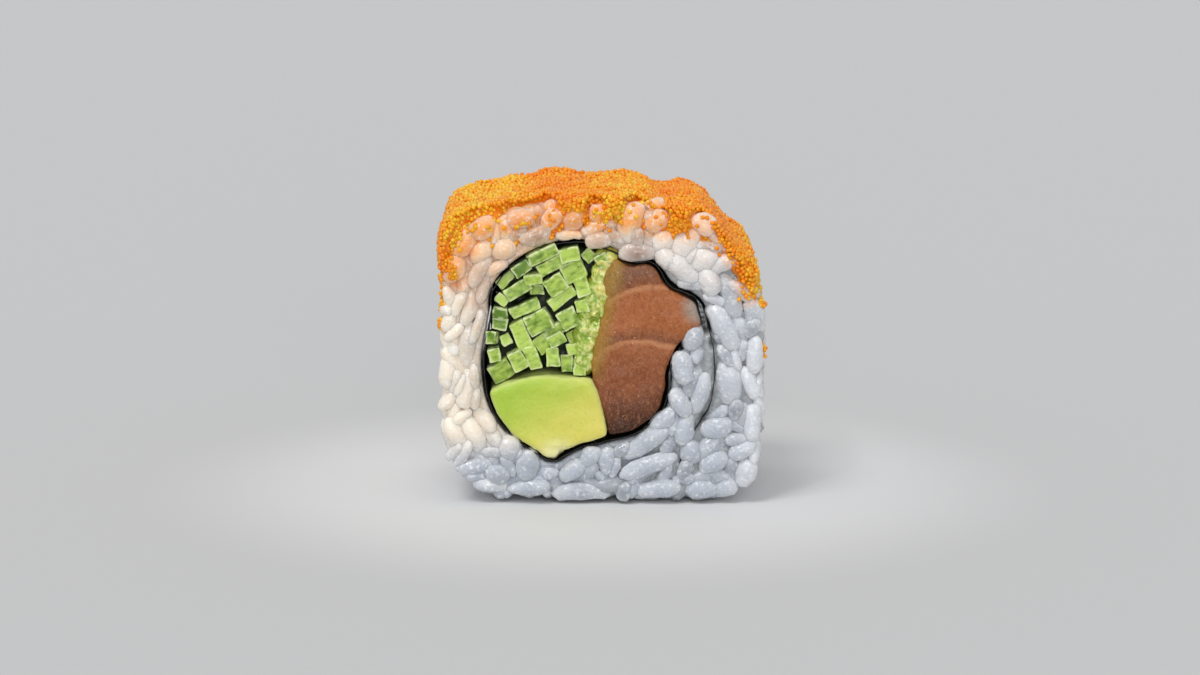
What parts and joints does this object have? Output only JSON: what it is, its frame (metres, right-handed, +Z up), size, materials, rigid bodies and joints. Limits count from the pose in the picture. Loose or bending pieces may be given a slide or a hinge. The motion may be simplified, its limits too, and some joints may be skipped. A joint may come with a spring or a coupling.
{
  "type": "uramaki roll",
  "caption": "Cut piece of inside-out sushi roll: rice outside a nori spiral, fish, avocado and cucumber fillings, and a blanket of fish roe on top.",
  "frame": {"origin": "middle of the piece's footprint, on the surface that it stands on", "axes": "+Y along the roll's axis, from the cut face that the picture shows to the back one; +Z up; +X to the right of that cut face"},
  "size_m": [0.042, 0.0276, 0.0398],
  "materials": {
    "rice": "moist cooked rice",
    "nori": "dark dried seaweed sheet",
    "fish": "moist brown fish flesh",
    "avocado": "soft green avocado flesh",
    "cucumber": "wet cut cucumber",
    "roe": "small glossy orange eggs"
  },
  "bodies": {
    "root": {"rice": "rice", "nori": "nori", "fish": "fish", "avocado": "avocado", "cucumber": "cucumber", "roe": "roe"}
  },
  "joints": []
}
